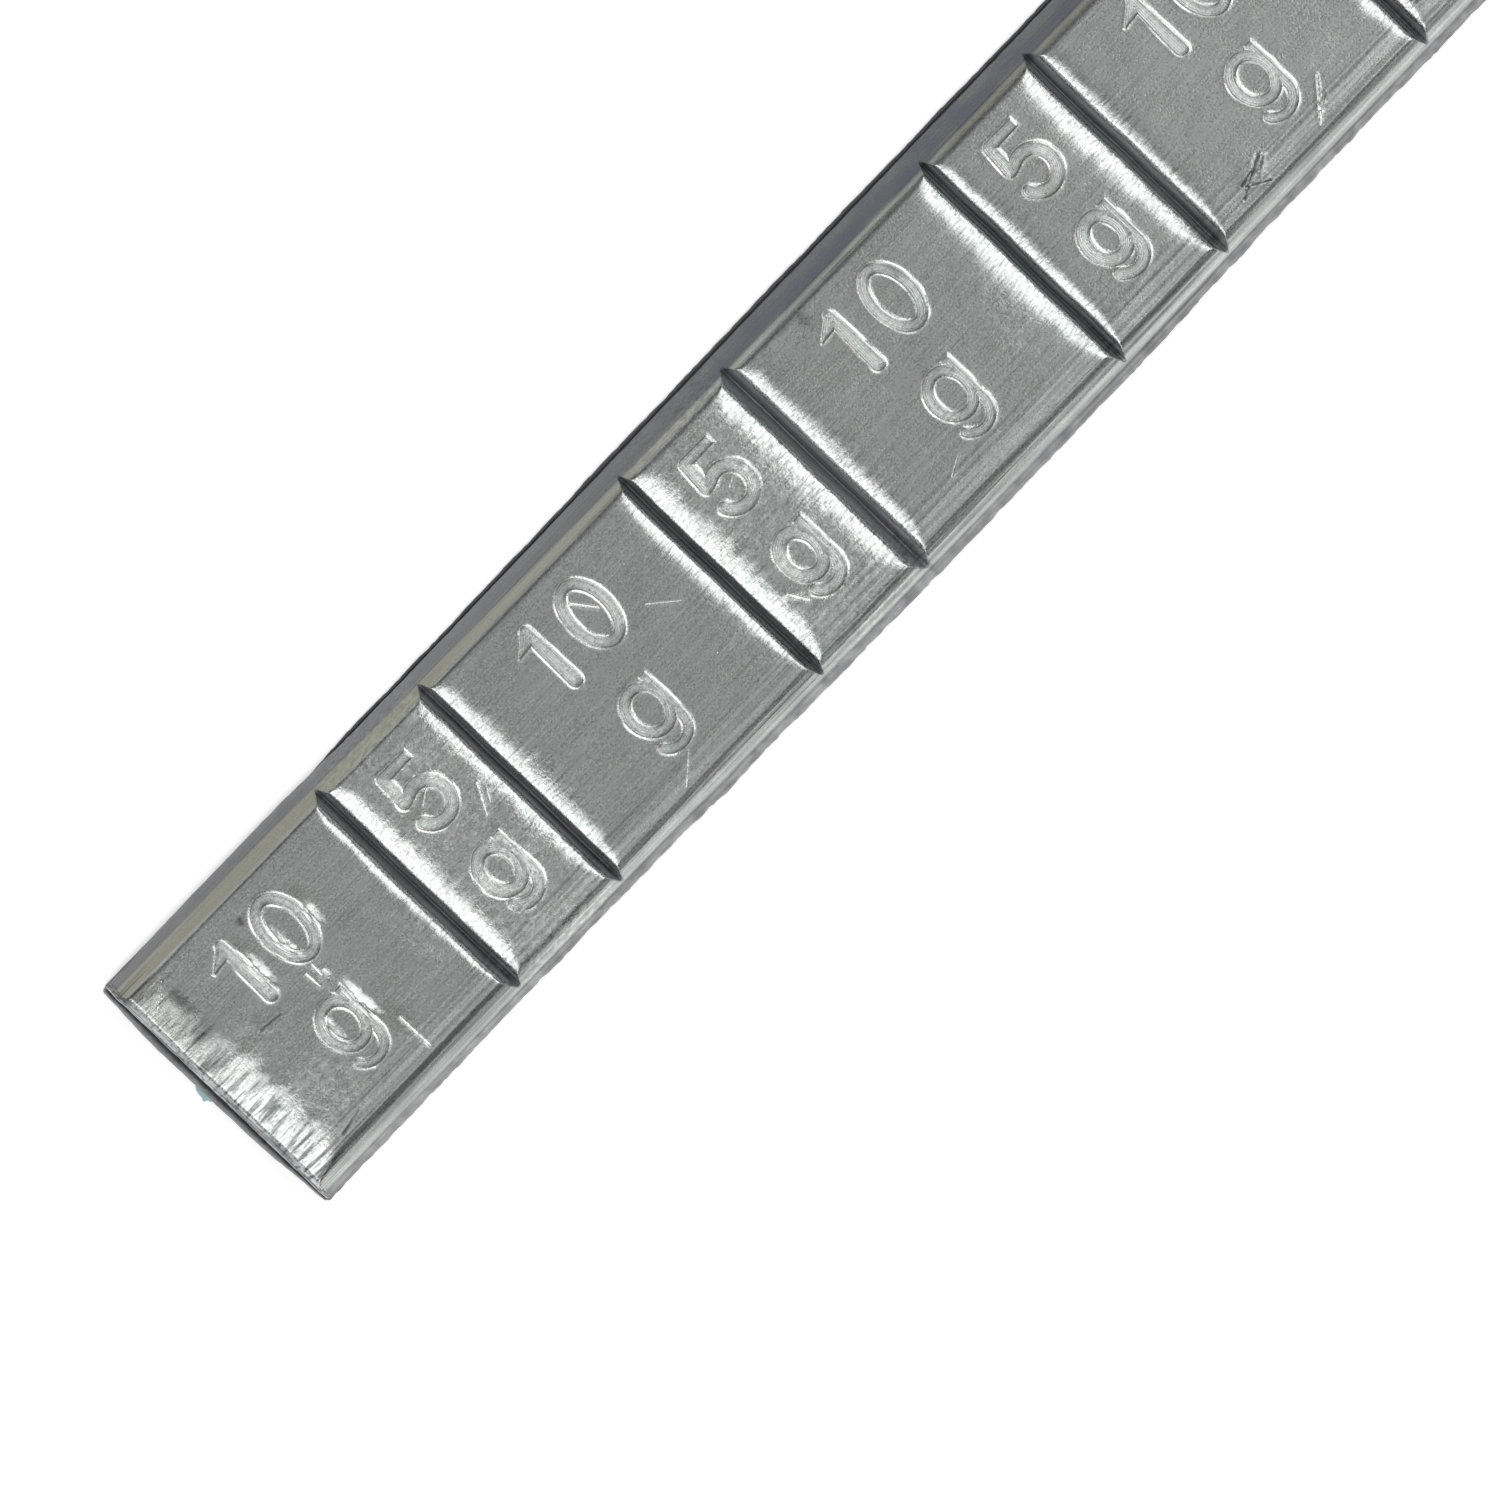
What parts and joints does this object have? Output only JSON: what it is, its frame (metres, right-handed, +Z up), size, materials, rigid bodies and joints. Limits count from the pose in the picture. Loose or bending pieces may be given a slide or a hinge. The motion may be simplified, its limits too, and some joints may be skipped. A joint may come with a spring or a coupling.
{
  "type": "stick-on wheel balance weight",
  "caption": "Notched lead strip of alternating heavy and light balance weights on double-sided foam tape, with its release liner, to stick inside a wheel rim.",
  "frame": {"origin": "middle of the adhesive side, at the underside of the release liner", "axes": "+X along the strip, away from the cut end with the scrap of liner; +Y across the strip; +Z up, out of the adhesive side towards the notched face"},
  "size_m": [0.1046, 0.0186, 0.004],
  "materials": {
    "lead": "satin, rolled lead",
    "foam": "matt closed-cell foam",
    "liner": "thin film"
  },
  "bodies": {
    "root": {"weight_strip": "lead", "foam_tape": "foam", "release_liner": "liner"}
  },
  "joints": []
}
